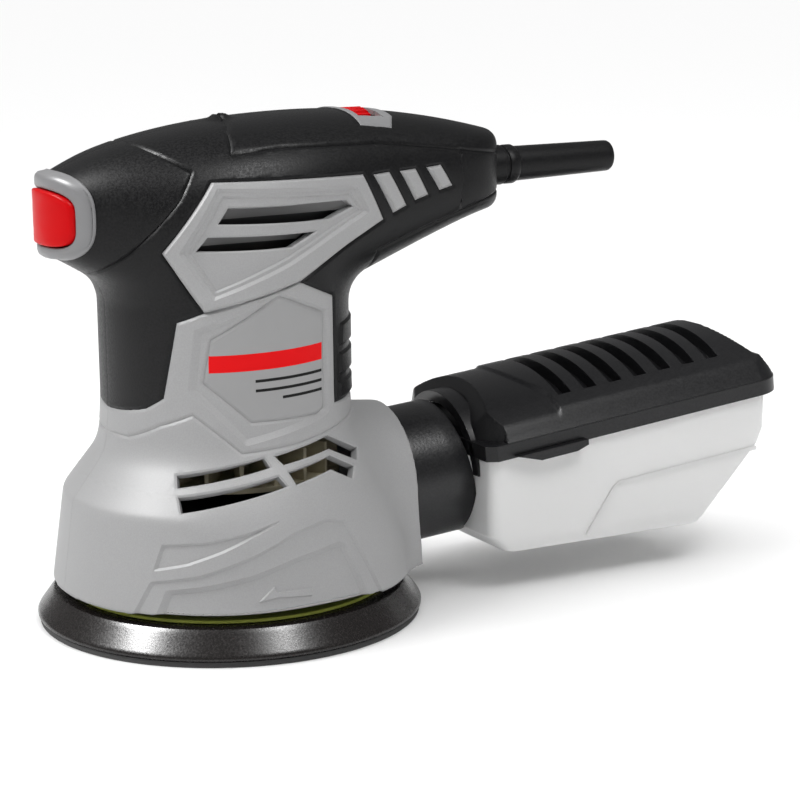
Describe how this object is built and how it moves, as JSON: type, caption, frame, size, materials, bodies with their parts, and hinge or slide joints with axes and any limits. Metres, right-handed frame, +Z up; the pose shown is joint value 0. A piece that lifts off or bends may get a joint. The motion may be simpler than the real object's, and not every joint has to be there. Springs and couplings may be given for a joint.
{
  "type": "orbital sander",
  "caption": "Palm-grip random-orbit sander with a round hook-face pad, fan-vented skirt, arched handle, rocker switch, speed dial and a lidded dust box on an adapter tube.",
  "frame": {"origin": "the motor axis where it meets the sanding face of the pad", "axes": "+Z up along the motor axis, +X from the nose towards the cord end and the dust box, -Y to the tool's left side"},
  "size_m": [0.2624, 0.125, 0.1618],
  "materials": {
    "grey_plastic": "satin, fine texture",
    "black_plastic": "satin, fine texture",
    "black_soft": "soft grip, fine texture",
    "label_film": "satin film with a red band",
    "red_plastic": "gloss",
    "clear_white": "translucent, smooth",
    "filter_felt": "felt",
    "pad_black": "glossy edge",
    "yellow_plate": "satin",
    "hook_face": "hook and loop",
    "beige_nylon": "satin",
    "inner_plastic": "matt",
    "board": "satin",
    "steel": "machined",
    "copper": "enamelled wire",
    "brass": "satin",
    "carbon": "matt",
    "cast_alloy": "cast"
  },
  "bodies": {
    "housing": {"housing_left": "grey_plastic", "housing_right": "grey_plastic", "handle_cover_left": "black_plastic", "handle_cover_right": "black_plastic", "nose_grip_left": "black_soft", "nose_grip_right": "black_soft", "vent_insert_left": "grey_plastic", "vent_insert_right": "grey_plastic", "label_left": "label_film", "label_right": "label_film", "top_grip": "black_soft", "under_grip": "black_soft", "dial_bezel": "grey_plastic", "skirt_left": "grey_plastic", "skirt_right": "grey_plastic", "rocker_frame": "grey_plastic", "switch_body": "inner_plastic", "dial_holder": "inner_plastic", "speed_board": "board", "cord_guard": "black_soft", "cord_clamp": "inner_plastic", "stator_core": "steel", "field_coil": "copper", "upper_bearing": "steel", "lower_bearing": "steel", "baffle_plate": "inner_plastic", "brush_holder_left": "brass", "brush_holder_right": "brass", "carbon_brush_left": "carbon", "carbon_brush_right": "carbon", "handle_stripe_left_1": "grey_plastic", "handle_stripe_left_2": "grey_plastic", "handle_stripe_left_3": "grey_plastic", "handle_stripe_right_1": "grey_plastic", "handle_stripe_right_2": "grey_plastic", "handle_stripe_right_3": "grey_plastic", "housing_screw_1": "steel", "housing_screw_2": "steel", "housing_screw_3": "steel"},
    "rotor": {"motor_shaft": "steel", "armature_core": "steel", "armature_winding": "copper", "commutator": "brass", "cooling_fan": "beige_nylon", "orbit_carrier": "cast_alloy", "orbit_bearing": "steel", "dust_fan": "cast_alloy", "balance_weight": "steel"},
    "pad": {"pad_hub": "cast_alloy", "pad_screw": "steel", "backing_plate": "yellow_plate", "pad_foam": "pad_black", "grip_face": "hook_face"},
    "rocker": {"rocker_cap": "red_plastic"},
    "dial": {"speed_dial": "red_plastic"},
    "dust_unit": {"adapter_tube": "black_plastic", "dust_box": "clear_white", "dust_filter": "filter_felt"},
    "lid": {"dust_lid": "black_plastic", "lid_tab": "black_plastic"}
  },
  "joints": [
    {"name": "rotor_spin", "type": "hinge", "parent": "housing", "child": "rotor", "pos_m": [0, 0, 0.08], "axis": [0, 0, 1], "continuous": true},
    {"name": "pad_spin", "type": "hinge", "parent": "rotor", "child": "pad", "pos_m": [-0.00125, 0, 0.026], "axis": [0, 0, 1], "continuous": true},
    {"name": "rocker_press", "type": "hinge", "parent": "housing", "child": "rocker", "pos_m": [-0.056, 0, 0.133], "axis": [0, 1, 0], "range_deg": [0, 5]},
    {"name": "dial_turn", "type": "hinge", "parent": "housing", "child": "dial", "pos_m": [0.045, 0, 0.148], "axis": [1, 0, 0], "range_deg": [0, 270]},
    {"name": "dust_unit_pull", "type": "slide", "parent": "housing", "child": "dust_unit", "axis": [0.9962, 0, 0.0872], "range_m": [0, 0.06]},
    {"name": "lid_open", "type": "hinge", "parent": "dust_unit", "child": "lid", "pos_m": [0.0773, 0.036, 0.046], "axis": [-0.9947, 0, -0.1028], "range_deg": [0, 100]}
  ]
}
